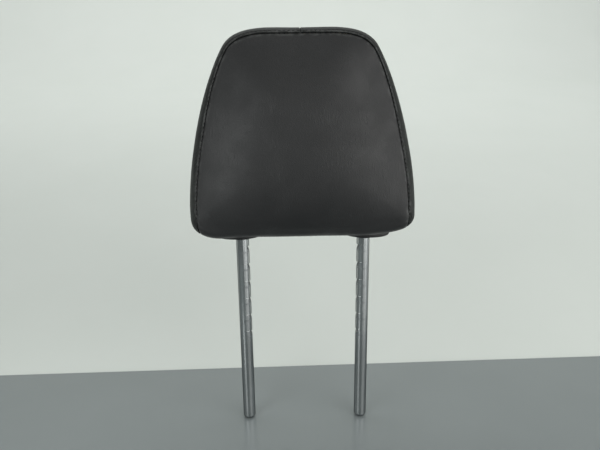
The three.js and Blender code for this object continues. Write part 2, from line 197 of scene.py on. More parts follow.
def leather_finish(name, dark, light, roughness=(0.50, 0.62), gloss=0.5, sheen=0.04):
    """Black pebbled leather: fine grain, faint drawn-out creases, and edges rubbed lighter."""
    f = Finish(name, Specular_IOR_Level=gloss, Sheen_Weight=sheen, Sheen_Roughness=0.4)
    pebbles = f.cells(1150, "SMOOTH_F1", smooth=0.35)
    pores = f.noise(3600, 2)
    drawn = f.noise(1.0, 4, 0.55, f.stretched((620, 620, 95)), 0.6)
    where = f.span(f.noise(22, 2), 0.45, 0.66)
    creases = f.maths("MULTIPLY", f.span(drawn, 0.52, 0.7), where)
    tone = f.blend(f.span(f.noise(11, 4), 0.35, 0.65), dark, light)
    between = f.maths("MULTIPLY", f.span(pebbles, 0.2, 0.75), 0.45)
    tone = f.blend(between, tone, tuple(c * 0.62 for c in dark))
    rub = f.add("Attribute", attribute_name="rub").outputs["Fac"]
    rubbed = f.maths("MULTIPLY", rub, f.span(f.noise(160, 4, 0.65), 0.4, 0.62))
    f.colour(f.blend(f.maths("MULTIPLY", rubbed, 0.5), tone, (0.105, 0.108, 0.105)))
    worn = f.span(f.noise(34, 3), 0.3, 0.7, *roughness)
    f.rough(f.maths("ADD", worn, f.maths("MULTIPLY", rubbed, -0.08)))
    f.bump(
        (pebbles, 0.00022, 0.42), (pores, 0.00008, 0.3), (creases, 0.00035, 0.4),
        (f.noise(70, 2), 0.0006, 0.12),
    )
    return f.material


def chrome_finish():
    """Bright chrome on drawn tube: draw lines along it, light smears, faint rub marks."""
    # Its edge tint is near black: painted shade, darkening the posts' reflections towards their edges.
    f = Finish("chrome", Metallic=1.0, Specular_Tint=(0.15, 0.15, 0.16, 1.0))
    lines = f.noise(1.0, 3, 0.6, f.stretched((2600, 2600, 18)))
    smears = f.noise(1.0, 4, 0.6, f.stretched((60, 60, 16)))
    f.colour(f.blend(f.span(smears, 0.35, 0.7), (0.44, 0.455, 0.46), (0.51, 0.525, 0.53)))
    f.rough(f.maths("ADD", f.span(smears, 0.35, 0.75, 0.05, 0.10), f.span(lines, 0.5, 0.75, 0.0, 0.03)))
    f.bump((lines, 0.00001, 0.06), (f.noise(240, 2), 0.00003, 0.06))
    return f.material


def moulded_finish(name, dark, light, roughness, grain=2400.0, depth=0.00006):
    """Moulded plastic or rubber with a spark-eroded grain, mottled tone and a duller skin in places."""
    f = Finish(name, Specular_IOR_Level=0.5)
    f.colour(f.blend(f.span(f.noise(45, 4), 0.35, 0.65), dark, light))
    f.rough(f.span(f.noise(120, 3), 0.3, 0.7, roughness - 0.06, roughness + 0.08))
    f.bump((f.noise(grain, 2), depth, 0.5), (f.noise(130, 2), 0.0002, 0.1))
    return f.material


def thread_finish():
    """Bonded polyester thread: plies twist round it and catch the light."""
    f = Finish("bonded_thread", Specular_IOR_Level=0.6, Sheen_Weight=0.2)
    plies = f.add(
        "TexWave", {"Vector": f.place, "Scale": 620.0, "Distortion": 1.2}, bands_direction="DIAGONAL"
    ).outputs["Fac"]
    f.colour(f.blend(plies, (0.022, 0.022, 0.023), (0.075, 0.076, 0.076)))
    f.rough(f.span(plies, 0, 1, 0.34, 0.5))
    f.bump((plies, 0.00012, 0.5))
    return f.material


def foam_finish():
    """Cold-cured polyurethane foam with a thin moulded skin and open pores."""
    f = Finish("moulded_foam", Specular_IOR_Level=0.2)
    pores = f.cells(900)
    f.colour(f.blend(f.span(pores, 0.15, 0.6), (0.33, 0.29, 0.19), (0.60, 0.56, 0.42)))
    f.rough(f.span(f.noise(60, 3), 0.3, 0.7, 0.86, 0.97))
    f.bump((pores, 0.0005, 0.6), (f.noise(90, 3), 0.001, 0.3))
    return f.material


def steel_finish(name, dark, light, roughness):
    """Plain or zinc plated steel: drawn lines, mottled plating, dull spots."""
    f = Finish(name, Metallic=1.0)
    mottle = f.noise(180, 4, 0.6)
    f.colour(f.blend(f.span(mottle, 0.35, 0.65), dark, light))
    f.rough(f.span(f.noise(90, 4), 0.3, 0.7, roughness - 0.07, roughness + 0.12))
    f.bump((f.noise(1.0, 3, 0.6, f.stretched((90, 2200, 2200))), 0.00004, 0.4))
    return f.material


def floor_finish():
    """A satin grey laminate top."""
    f = Finish("grey_laminate", Specular_IOR_Level=0.6)
    f.colour(f.blend(f.noise(9, 3), (0.195, 0.218, 0.220), (0.215, 0.238, 0.240)))
    f.rough(f.span(f.noise(40, 3), 0.3, 0.7, 0.20, 0.23))
    f.bump((f.noise(900, 2), 0.00003, 0.08))
    return f.material


def backdrop_finish():
    """Matt off-white paper."""
    f = Finish("paper_backdrop", Specular_IOR_Level=0.15)
    f.colour(f.blend(f.noise(5, 3), (0.60, 0.635, 0.60), (0.63, 0.66, 0.63)))
    f.rough(f.span(f.noise(60, 2), 0.3, 0.7, 0.8, 0.9))
    f.bump((f.noise(700, 3), 0.0001, 0.1))
    return f.material


# ---------------------------------------------------------------- meshes


def mesh_object(name, points, faces, material, smooth=True, sharp_angle=None):
    """A mesh object from points in millimetres. Faces index the points."""
    mesh = bpy.data.meshes.new(name)
    mesh.from_pydata((np.asarray(points, float) * MM).tolist(), [], [list(map(int, f)) for f in faces])
    mesh.update()
    mesh.shade_smooth() if smooth else mesh.shade_flat()
    if sharp_angle is not None:
        mesh.set_sharp_from_angle(angle=math.radians(sharp_angle))
    mesh.materials.append(material)
    thing = bpy.data.objects.new(name, mesh)
    bpy.context.scene.collection.objects.link(thing)
    return thing


def grid_faces(index, flip=False):
    """Quads over a 2-D array of point numbers."""
    quads = np.stack([index[:-1, :-1], index[1:, :-1], index[1:, 1:], index[:-1, 1:]], -1).reshape(-1, 4)
    return quads[:, ::-1] if flip else quads


def ring_faces(index, flip=False):
    """Quads over rows of point numbers whose columns close on themselves."""
    return grid_faces(np.concatenate([index, index[:, :1]], 1), flip)


def vertex_normals(points, faces):
    """Area weighted unit normals of a quad mesh."""
    p = points[faces]
    face_normals = np.cross(p[:, 2] - p[:, 0], p[:, 3] - p[:, 1])
    normals = np.zeros_like(points)
    for corner in range(4):
        np.add.at(normals, faces[:, corner], face_normals)
    return normals / np.maximum(np.linalg.norm(normals, axis=1, keepdims=True), 1e-12)


def smoothstep(x):
    x = np.clip(x, 0, 1)
    return x * x * (3 - 2 * x)


def stage():
    """A satin grey top that ends just behind the posts, and a pale sweep beyond it."""
    floor = mesh_object(
        "floor",
        [(-6000, -6000, 0), (6000, -6000, 0), (6000, 283.4, 0), (-6000, -57.4, 0)],
        [(0, 1, 2, 3)],
        floor_finish(),
    )
    slope = math.radians(17)
    foot_y, rise = 112.0, 1500.0
    profile = [(-600, -3), (foot_y, -3), (foot_y + rise, -3 + rise * math.tan(slope))]
    bend_y, bend_z = profile[-1]
    for a in np.linspace(slope, math.pi / 2, 12)[1:]:
        profile.append((
            bend_y + 800 * (math.sin(a) - math.sin(slope)), bend_z + 800 * (math.cos(slope) - math.cos(a))
        ))
    profile.append((profile[-1][0], 3400))
    points = [(x, y + 0.0284 * x, z) for y, z in profile for x in (-6000, 6000)]
    index = np.arange(len(points)).reshape(-1, 2)
    sweep = mesh_object("backdrop", points, grid_faces(index, True), backdrop_finish())


def studio_light():
    world = bpy.data.worlds.new("studio")
    bpy.context.scene.world = world
    world.use_nodes = True
    nodes, links = world.node_tree.nodes, world.node_tree.links
    place = nodes.new("ShaderNodeTexCoord").outputs["Generated"]
    split = nodes.new("ShaderNodeSeparateXYZ")
    links.new(place, split.inputs[0])
    ramp = nodes.new("ShaderNodeValToRGB")
    ramp.color_ramp.elements[0].color = (0.22, 0.23, 0.225, 1)
    ramp.color_ramp.elements[1].color = (0.50, 0.52, 0.51, 1)
    spread = nodes.new("ShaderNodeMapRange")
    spread.inputs["From Min"].default_value, spread.inputs["From Max"].default_value = -0.3, 1.0
    links.new(split.outputs["Z"], spread.inputs["Value"])
    links.new(spread.outputs["Result"], ramp.inputs[0])
    links.new(ramp.outputs[0], nodes["Background"].inputs["Color"])
    nodes["Background"].inputs["Strength"].default_value = 0.80
    area_light("strip_left", (-0.43, -0.49, 0.39), (0, 0, 0.1), (0.36, 0.30), 1.1, (0.97, 1.0, 0.99))
    area_light("low_left", (-0.46, -0.47, 0.21), (0, 0, 0.1), (0.26, 0.12), 0.35, (0.97, 1.0, 0.99))
    area_light("window_right", (0.92, -0.92, 1.02), (0, 0, 0.2), (1.2, 0.7), 5.9, (1.0, 1.0, 0.98))
    area_light("low_right", (0.85, -1.10, 0.33), (0, 0, 0.33), (1.5, 0.5), 5.4, (1.0, 1.0, 0.98))
    area_light("side_right", (1.22, -0.42, 0.30), (0, 0, 0.33), (1.2, 0.5), 3.4, (1.0, 1.0, 0.98))
    area_light("backdrop_wash", (0.0, 0.75, 2.1), (0, 2.1, 0.75), (5.0, 0.8), 47)


stage()
studio_light()


# ---------------------------------------------------------------- pad form


def bezier(p0, p1, p2, p3, count=400):
    t = np.linspace(0, 1, count)[:, None]
    p0, p1, p2, p3 = (np.array(p, float) for p in (p0, p1, p2, p3))
    return (1 - t) ** 3 * p0 + 3 * t * (1 - t) ** 2 * p1 + 3 * t**2 * (1 - t) * p2 + t**3 * p3


def pad_outline():
    """The pad's outline in X and Z, from the middle of the base, up the right, and round.
    Returns the points and their arc lengths."""
    sx, sz = SHOULDER
    length = sz - SIDE_BASE
    lean_x, lean_z = 0.5, math.cos(math.radians(30))
    right = np.concatenate([
        [(0, PAD_BASE)],
        bezier((60, PAD_BASE), (100, PAD_BASE), (PAD_HALF, PAD_BASE + 6), (PAD_HALF, SIDE_BASE)),
        bezier(
            (PAD_HALF, SIDE_BASE), (PAD_HALF, SIDE_BASE + 0.26 * length),
            (sx + lean_x * 0.29 * length, sz - lean_z * 0.29 * length), (sx, sz),
        )[1:],
        bezier((sx, sz), (sx - lean_x * 15.3, sz + lean_z * 15.3), (50, PAD_TOP), (30, PAD_TOP))[1:],
        [(0, PAD_TOP)],
    ])
    points = np.concatenate([right, (right[::-1] * (-1, 1))[1:]])
    steps = np.linalg.norm(np.diff(points, axis=0), axis=1)
    return points, np.concatenate([[0], np.cumsum(steps)])


OUTLINE, ARC = pad_outline()
ROUND = ARC[-1]
FOOT = float(ARC[int(np.argmax(OUTLINE[:, 0]))])
CORNER = (OUTLINE[:, 0] >= 60) & (ARC <= FOOT)


def at(s):
    """Outline X and Z at arc length s."""
    return np.interp(s, ARC, OUTLINE[:, 0]), np.interp(s, ARC, OUTLINE[:, 1])


def seam_planes(z):
    rise = np.clip((z - PAD_BASE) / 205.0, 0, 1)
    return -(45 - 8 * rise), 28 - 15 * rise


def seam_scale(z):
    """The seams lie closer to the outline towards the top."""
    return SEAM_SCALE + 0.025 * smoothstep((z - 312) / 105)


def boxing_scale(m):
    return SEAM_SCALE + (1 - SEAM_SCALE) * np.cos(np.radians(90 * (m - 2)))


def foot_arc(m):
    """Arc length at which the right foot seam crosses meridian m, from 1, the front seam, to 3, the rear."""
    return np.interp(SEAM_SIDE / boxing_scale(m), OUTLINE[CORNER, 0], ARC[CORNER])


def skin(s, m):
    """The pad's surface. s is the arc length round the outline. m runs over the pad from front to back: 0 the
    middle of the front, 1 the front seam, 3 the rear seam, 4 the middle of the back."""
    s, m = np.broadcast_arrays(np.asarray(s, float), np.asarray(m, float))
    ox, oz = at(s)
    side = np.where(m <= 2, -1.0, 1.0)
    a = np.where(m <= 2, m, 4 - m)
    crown = np.where(m <= 2, FRONT_CROWN, REAR_CROWN)

    def planes(k):
        z = PAD_MIDDLE + (oz - PAD_MIDDLE) * k
        front, rear = seam_planes(z)
        return np.where(side < 0, front, rear), (rear - front) / 2

    angle = np.radians(90 * (2 - np.maximum(a, 1)))
    sewn = seam_scale(oz)
    k_sewn = np.where(a <= 1, sewn * a, sewn + (1 - sewn) * np.cos(angle))
    half = planes(k_sewn)[1]
    q_sewn = np.where(a <= 1, crown * (1 - a**3), -half * (1 - np.sin(angle)))

    # The base has no seam, so there the panel rounds under in one smooth curve.
    start = 0.6
    k0, q0 = SEAM_SCALE * start, crown * (1 - start**3)
    k_corner, q_corner = 1.0, q0 - (1 - k0) / SEAM_SCALE * 3 * crown * start**2
    k1, q1 = k0 + 0.8 * (k_corner - k0), q0 + 0.8 * (q_corner - q0)
    k3, q3 = 1.0, -half
    k2, q2 = 1.0, q3 + 0.85 * (q_corner - q3)
    t = np.clip(np.where(a <= 1, 0.5 * (a - start) / (1 - start), 0.5 + 0.5 * (a - 1)), 0, 1)
    weights = ((1 - t) ** 3, 3 * t * (1 - t) ** 2, 3 * t**2 * (1 - t), t**3)
    k_round = sum(w * k for w, k in zip(weights, (k0, k1, k2, k3)))
    q_round = sum(w * q for w, q in zip(weights, (q0, q1, q2, q3)))
    from_foot = FOOT - np.minimum(s, ROUND - s)
    rounded = np.where(a > start, smoothstep((from_foot - 6) / 45), 0)
    k = k_sewn + rounded * (k_round - k_sewn)
    q = q_sewn + rounded * (q_round - q_sewn)

    z = PAD_MIDDLE + (oz - PAD_MIDDLE) * k
    seam_y = planes(k)[0]
    return np.stack([ox * k, seam_y + side * q, z], -1)


def foot_span(m, share):
    """Arc length at a share of the way across the base, from the left foot seam to the right one."""
    right = foot_arc(m)
    return (right * (2 * share - 1)) % ROUND


def base_point(share, m):
    return skin(foot_span(m, share), m)


def boxing_point(side, share, m):
    """share runs from the foot, 0, to the top middle, 1. side is -1 for the left."""
    s = foot_arc(m) + share * (ROUND / 2 - foot_arc(m))
    return skin(s if side > 0 else ROUND - s, m)


def seam_lines():
    """The seams as dense polylines."""
    share = np.linspace(0, 1, 1500)
    arch = FOOT + share * (ROUND - 2 * FOOT)
    across = np.linspace(1, 3, 300)
    return {
        "front": skin(arch, 1.0),
        "rear": skin(arch, 3.0),
        "foot_right": boxing_point(1, 0.0, across),
        "foot_left": boxing_point(-1, 0.0, across),
        "top": skin(ROUND / 2, across),
    }


SEAMS = seam_lines()


def nearest(points, *names):
    """Distance to the nearest of the named seams, and the arc length along it there."""
    lines = [SEAMS[n] for n in names]
    arcs = [np.concatenate([[0], np.cumsum(np.linalg.norm(np.diff(l, axis=0), axis=1))]) for l in lines]
    every, arc = np.concatenate(lines), np.concatenate(arcs)
    tree = kdtree.KDTree(len(every))
    for i, p in enumerate(every):
        tree.insert(p, i)
    tree.balance()
    found = [tree.find(p) for p in points]
    return np.array([f[2] for f in found]), np.array([arc[f[1]] for f in found])


def wander(points, size, seed=0.0):
    """Smooth noise from -1 to 1 at each point, with bumps of about that size in millimetres."""
    return np.array([noise.noise(Vector(p) / size + Vector((seed, seed, seed))) for p in points])


# ---------------------------------------------------------------- stuffing the pad


def disc_layout(n):
    """Square grid laid over a panel: outline arc length and meridian share at each node. The grid's lower side
    follows the base and its other three sides follow the arch."""
    i = np.arange(n + 1)
    gx, gz = np.meshgrid(i - n / 2, i - n / 2, indexing="ij")
    ring = np.maximum(abs(gx), abs(gz)) / (n / 2)
    scale = np.maximum(ring, 1e-9) * n / 2
    px, pz = gx / scale * n / 2 + n / 2, gz / scale * n / 2 + n / 2
    base = pz <= 1e-6
    right = ~base & (px >= n - 1e-6)
    top = ~base & ~right & (pz >= n - 1e-6)
    arch = np.where(right, pz, np.where(top, n + (n - px), 2 * n + (n - pz)))
    s = np.where(base, (FOOT * (2 * px / n - 1)) % ROUND, FOOT + arch / (3 * n) * (ROUND - 2 * FOOT))
    return s, ring


def near_edge(x, power):
    """Spreads rows so that they crowd towards 1."""
    return 1 - (1 - x) ** power


CENTRE = np.array([0.0, -8.5, PAD_MIDDLE])


def facing_out(points, faces):
    """The faces, turned round if they look towards the pad's centre."""
    p = points[faces]
    normals = np.cross(p[:, 2] - p[:, 0], p[:, 3] - p[:, 1])
    outward = np.einsum("ij,ij->i", normals, p.mean(1) - CENTRE).sum() > 0
    return faces if outward else faces[:, ::-1]


def coarse_skin(n=56, rows=20):
    """The whole pad as one closed quad mesh."""
    s, ring = disc_layout(n)
    m_rows = np.linspace(1, 3, rows + 1)[:, None]
    half = np.linspace(0, 1, 3 * n // 2 + 1)[None, :]
    patches = [
        skin(s, ring),
        skin(s, 4 - ring),
        base_point(np.linspace(0, 1, n + 1)[None, :], m_rows),
        boxing_point(1, half, m_rows),
        boxing_point(-1, half, m_rows),
    ]
    points, faces, seen = [], [], {}
    for grid in patches:
        index = np.empty(grid.shape[:2], int)
        for place in np.ndindex(*index.shape):
            key = tuple(np.round(grid[place], 2) + 0.0)
            if key not in seen:
                seen[key] = len(points)
                points.append(grid[place])
            index[place] = seen[key]
        faces.append(facing_out(np.array(points), grid_faces(index)))
        if len(faces) == 2:
            panel_points = len(points)
    return np.array(points), np.concatenate(faces), panel_points


SWELL_CAP = 3.2


def spread(values, faces, rounds):
    """Evens out values given per point of a quad mesh, so that only their broad form is left."""
    edges = np.concatenate([faces[:, [i, (i + 1) % 4]] for i in range(4)])
    count = np.bincount(edges[:, 0], minlength=len(values))[:, None]
    for _ in range(rounds):
        total = np.zeros_like(values)
        np.add.at(total, edges[:, 0], values[edges[:, 1]])
        values = 0.5 * values + 0.5 * total / np.maximum(count, 1)
    return values


def inflated(points, faces):
    """The sewn pad's points after Blender's cloth has inflated it with its seams held."""
    pad = mesh_object("swelling_pad", points, faces, bpy.data.materials.new("swelling"))
    held = nearest(points, *SEAMS)[0]
    under = (points[:, 2] < PAD_BASE + 6) & (abs(points[:, 1]) < 20)
    group = pad.vertex_groups.new(name="sewn")
    group.add(np.nonzero((held < 1.0) | under)[0].tolist(), 1.0, "REPLACE")
    cloth = pad.modifiers.new("cloth", "CLOTH")
    settings = cloth.settings
    settings.quality = 6
    settings.mass = 0.25
    settings.tension_stiffness = settings.compression_stiffness = 25
    settings.shear_stiffness = 12
    settings.bending_stiffness = 1.5
    settings.vertex_group_mass = "sewn"
    settings.use_pressure = True
    settings.uniform_pressure_force = 4
    settings.effector_weights.gravity = 0
    settings.shrink_min = -0.004
    cloth.collision_settings.use_collision = False
    cloth.point_cache.frame_start, cloth.point_cache.frame_end = 1, 20
    scene = bpy.context.scene
    for frame_number in range(1, 21):
        scene.frame_set(frame_number)
    moved = pad.evaluated_get(bpy.context.evaluated_depsgraph_get()).to_mesh()
    after = np.array([v.co for v in moved.vertices]) / MM
    scene.frame_set(1)
    mesh, material = pad.data, pad.data.materials[0]
    bpy.data.objects.remove(pad)
    bpy.data.meshes.remove(mesh)
    bpy.data.materials.remove(material)
    return after


def swelling():
    """The coarse skin and how far each of its points moves when the pad is stuffed."""
    points, faces, panel_points = coarse_skin()
    shift = np.zeros_like(points)
    shift = spread(inflated(points, faces) - points, faces, 14)
    size = np.linalg.norm(shift, axis=1, keepdims=True)
    shift *= np.minimum(1, SWELL_CAP / np.maximum(size, 1e-9))
    # The padding rounds the panels out between their corners.
    full = points + shift
    share = smoothstep((nearest(points, *SEAMS)[0] - 1) / 16)[:, None]
    share[panel_points:] = 0
    return points, faces, shift + share * (spread(full, faces, 30) - full)


SKIN_POINTS, SKIN_FACES, SKIN_SHIFT = swelling()
SKIN_TREE = kdtree.KDTree(len(SKIN_POINTS))
for number, point in enumerate(SKIN_POINTS):
    SKIN_TREE.insert(point, number)
SKIN_TREE.balance()


def settled(points):
    """The cover hangs a little fuller at its lower left corner and is drawn up at its lower right one."""
    moved = np.array(points, float)
    x, y, z = moved.T
    low_front = smoothstep((-y - 12) / 18) * smoothstep((PAD_BASE + 36 - z) / 32)
    drop = 2.7 * smoothstep((-x - 60) / 36) - 1.7 * smoothstep((x - 60) / 36)
    rise = z - PAD_BASE
    moved[:, 2] -= low_front * drop
    moved[:, 0] -= 0.4 * smoothstep((rise - 8) / 30) + 0.6 * smoothstep((rise - 40) / 100)
    return moved


def stuffed(points):
    """The points moved as the swollen skin near them moved."""
    if not SKIN_SHIFT.any():
        return settled(points)
    moved = np.array(points, float)
    for i, point in enumerate(points):
        near = SKIN_TREE.find_n(point, 10)
        weights = np.array([math.exp(-((n[2] / 4.0) ** 2)) for n in near]) + 1e-9
        moved[i] += (weights[:, None] * SKIN_SHIFT[[n[1] for n in near]]).sum(0) / weights.sum()
    return settled(moved)


# ---------------------------------------------------------------- leather panels


def roll(d, depth, width):
    """How far an edge turns in, d away from its seam."""
    x = np.clip(1 - d / width, 0, 1)
    return -depth * (1 - np.sqrt(1 - x * x))


def allowance(d):
    """The seam allowance: the last row turns straight in, so that the groove stays dark."""
    return -2.6 * np.exp(-((d / 0.12) ** 2))


def panel(name, points, faces, offset, turns, material, replaced, rub):
    """A leather panel: a skin moved along its normals, with its edges turned in, then given the leather's
    thickness. Each turn is a depth and the direction in which that edge goes in."""
    normals = vertex_normals(points, faces)
    placed = points + offset[:, None] * normals
    for depth, inward in turns:
        placed = placed - depth[:, None] * np.array(inward)
    piece = mesh_object(name, placed, faces, material)
    layer = piece.data.attributes.new("rub", "FLOAT", "POINT")
    layer.data.foreach_set("value", rub.astype(np.float32))
    thickness = piece.modifiers.new("leather", "SOLIDIFY")
    thickness.thickness, thickness.offset = LEATHER * MM, -1
    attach(piece, "root")
    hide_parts(replaced)
    return piece, normals


def grid_points(*grids):
    """Grids of points as one list, welded where they share a row, with each grid's point numbers."""
    points, seen, indices = [], {}, []
    for grid in grids:
        index = np.empty(grid.shape[:2], int)
        for place in np.ndindex(*index.shape):
            key = tuple(np.round(grid[place], 3) + 0.0)
            if key not in seen:
                seen[key] = len(points)
                points.append(grid[place])
            index[place] = seen[key]
        indices.append(index)
    return np.array(points), indices


def base_rows(share, side, rows):
    """The base from a seam plane in to the closure at Y = 0. side is -1 for the front half."""
    dense = np.linspace(1, 3, 161)[:, None]
    lines = base_point(share[None, :], dense)
    result = np.empty((rows + 1, len(share), 3))
    for column in range(len(share)):
        middle = np.interp(0.0, lines[:, column, 1], dense[:, 0])
        m = np.linspace(0, 1, rows + 1)
        m = 1 - (1 - m) ** 1.3
        m = 1 + (middle - 1) * m if side < 0 else 3 + (middle - 3) * m
        result[:, column] = base_point(share[column], m)
    return result


HOLE = 13.0


def face_panel(name, side, replaced, material, n=132):
    """The front or back panel: crowned, sewn round the arch, and wrapped under the base to the closure."""
    s, ring = disc_layout(n)
    ring = near_edge(ring, 1.3)
    cap = skin(s, ring if side < 0 else 4 - ring)
    under = base_rows(np.linspace(0, 1, n + 1), side, 40)
    points, (cap_index, under_index) = grid_points(cap, under)
    faces = np.concatenate([
        facing_out(points, grid_faces(cap_index)), facing_out(points, grid_faces(under_index)),
    ])
    posts = np.array([(-POST_X, 0.0), (POST_X, 0.0)])
    low = points[:, 2] < PAD_BASE + 8
    reach = np.linalg.norm(points[:, None, :2] - posts[None], axis=2)
    inside = low & (reach.min(1) < HOLE)
    faces = faces[~inside[faces].any(1)]
    edge = low & (reach.min(1) < HOLE + 1.2)
    for i in np.nonzero(edge)[0]:
        post = posts[reach[i].argmin()]
        points[i, :2] = post + (points[i, :2] - post) * HOLE / reach[i].min()
    used = np.unique(faces)
    renumber = np.zeros(len(points), int)
    renumber[used] = np.arange(len(used))
    points, faces = points[used], renumber[faces]
    arch, arc = nearest(points, "front" if side < 0 else "rear")
    foot, _ = nearest(points, "foot_left", "foot_right")
    d = np.minimum(arch, foot)
    closure = np.where(points[:, 2] < PAD_BASE + 12, abs(points[:, 1]), 99.0)
    points = stuffed(points)
    pucker = wander(np.stack([arc, arc * 0, d * 0.3], -1), 11.0, 3.1 + side)
    offset = 0.28 * pucker * np.exp(-d / 7) * smoothstep(d / 2)
    offset += 0.05 * np.cos(arc * 2 * np.pi / STITCH_PITCH) * np.exp(-(((d - 1.8) / 1.4) ** 2))
    offset += 0.45 * wander(points, 55, 7.7)
    turns = [
        (roll(arch, 1.7, 2.2) + allowance(arch), (0, -side, 0)),
        (roll(foot, 1.7, 2.2) + allowance(foot) + roll(closure, 1.2, 1.6), (0, 0, 1)),
    ]
    rub = np.exp(-(((d - 1.5) / 1.4) ** 2))
    return panel(name, points, faces, offset, turns, material, replaced, rub)[0]


def boxing_rows():
    """Distances from a seam at which the boxing's rows lie, up to where they spread out evenly."""
    return np.array([
        0, 0.2, 0.45, 0.7, 1.0, 1.3, 1.6, 1.9, 2.15, 2.4, 2.7, 3.0, 3.25, 3.6, 4.1, 4.8, 5.7, 6.9, 8.4,
    ])


def boxing(name, side, replaced, material, columns=400):
    """The band round one side: from its foot seam up to the joint in the middle of the top."""
    share = np.linspace(0, 1, columns + 1)
    dense = np.linspace(1, 3, 241)
    lines = boxing_point(side, share[None, :], dense[:, None])
    steps = np.linalg.norm(np.diff(lines, axis=0), axis=2)
    length = np.concatenate([np.zeros((1, columns + 1)), np.cumsum(steps, 0)])
    near = boxing_rows()
    middle = np.linspace(0, 1, 16)[1:-1]
    rows = []
    for column in range(columns + 1):
        total = length[-1, column]
        scale = min(1.0, total / 2 / (near[-1] + 1.5))
        edge = near * scale
        span = np.concatenate([edge, edge[-1] + middle * (total - 2 * edge[-1]), total - edge[::-1]])
        rows.append(np.interp(span, length[:, column], dense))
    m = np.array(rows).T
    points = boxing_point(side, share[None, :], m)
    index = np.arange(m.size).reshape(m.shape)
    points = points.reshape(-1, 3)
    faces = facing_out(points, grid_faces(index))
    foot = "foot_right" if side > 0 else "foot_left"
    front, _ = nearest(points, "front")
    rear, _ = nearest(points, "rear")
    foot_end, _ = nearest(points, foot)
    top_end, _ = nearest(points, "top")
    run = np.linalg.norm(np.diff(lines[120], axis=0), axis=1)
    along = np.tile(np.concatenate([[0], np.cumsum(run)]), len(m))
    points = stuffed(points)
    d = np.minimum(front, rear)
    sewn = 1 - 0.45 * np.cos(along * 2 * np.pi / STITCH_PITCH)
    offset = 0.30 * np.exp(-(((d - 1.35) / 0.55) ** 2))
    offset -= 0.62 * sewn * np.exp(-(((d - STITCH_ROW) / 0.42) ** 2))
    ripple = wander(np.stack([along, along * 0, d * 0.2], -1), 13.0, 5.5 * side)
    offset += 0.35 * ripple * smoothstep(d / 3) * np.exp(-d / 12)
    rub = np.exp(-(((d - 1.2) / 0.8) ** 2))
    turns = [
        (roll(front, 1.5, 1.2) + allowance(front), (0, 1, 0)),
        (roll(rear, 1.5, 1.2) + allowance(rear), (0, -1, 0)),
        (roll(foot_end, 0.7, 1.2) + 0.6 * allowance(foot_end), (0, 0, 1)),
        (roll(top_end, 0.35, 1.2) + 0.4 * allowance(top_end), (0, 0, -1)),
    ]
    piece, normals = panel(name, points, faces, offset, turns, material, replaced, rub)
    rows_at = {}
    row = int(np.argmin(abs(near - STITCH_ROW)))
    for seam, number in (("front", row), ("rear", len(m) - 1 - row)):
        rows_at[seam] = points[index[number]], normals[index[number]]
    return piece, rows_at


def tube_along(line, normals, radii, sides=8):
    """A closed tube round a polyline, with rounded ends where the radii fall away."""
    ahead = np.gradient(line, axis=0)
    ahead /= np.linalg.norm(ahead, axis=1, keepdims=True)
    across = np.cross(ahead, normals)
    across /= np.linalg.norm(across, axis=1, keepdims=True)
    up = np.cross(across, ahead)
    angle = np.arange(sides) * 2 * np.pi / sides
    ring = np.cos(angle)[None, :, None] * across[:, None] + np.sin(angle)[None, :, None] * up[:, None]
    points = (line[:, None] + radii[:, None, None] * ring).reshape(-1, 3)
    index = np.arange(len(points)).reshape(len(line), sides)
    faces = [list(f) for f in ring_faces(index)]
    faces += [list(index[0][::-1]), list(index[-1])]
    return points, faces


def stitching(name, rows, material):
    """A row of separate stitches, each a thread that dips into the leather at both ends."""
    points, faces = [], []
    t = np.linspace(0, 1, 9)
    for line, normals in rows:
        arc = np.concatenate([[0], np.cumsum(np.linalg.norm(np.diff(line, axis=0), axis=1))])
        for start in np.arange(STITCH_PITCH * 0.5, arc[-1] - STITCH_PITCH, STITCH_PITCH):
            where = start - STITCH_LENGTH / 2 + STITCH_LENGTH * t
            base = np.stack([np.interp(where, arc, line[:, i]) for i in range(3)], -1)
            up = np.stack([np.interp(where, arc, normals[:, i]) for i in range(3)], -1)
            up /= np.linalg.norm(up, axis=1, keepdims=True)
            height = -0.95 + 0.95 * np.sin(np.pi * t) ** 0.6
            radii = THREAD * (0.55 + 0.45 * np.sin(np.pi * t) ** 0.5)
            p, f = tube_along(base + height[:, None] * up, up, radii)
            faces += [[v + sum(map(len, points)) for v in face] for face in f]
            points.append(p)
    piece = mesh_object(name, np.concatenate(points), faces, material)
    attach(piece, "root")
    return piece


# ---------------------------------------------------------------- posts


def notch_limit(z):
    """How far out from its axis a post's notched side reaches at height z."""
    limit = np.full_like(z, POST_RADIUS)
    floor = POST_RADIUS - NOTCH_DEPTH
    for i in range(NOTCH_COUNT):
        top = FIRST_NOTCH_TOP - i * NOTCH_PITCH
        shape = np.interp(
            z,
            [top - 6.9, top - 6.5, top - 3.1, top - 2.8, top - 0.35, top - 0.18, top - 0.02, top + 0.15],
            [
                POST_RADIUS, POST_RADIUS - 0.06, floor + 0.05, floor, floor, floor + 0.12,
                POST_RADIUS - 0.1, POST_RADIUS,
            ],
        )
        limit = np.minimum(limit, shape)
    return limit


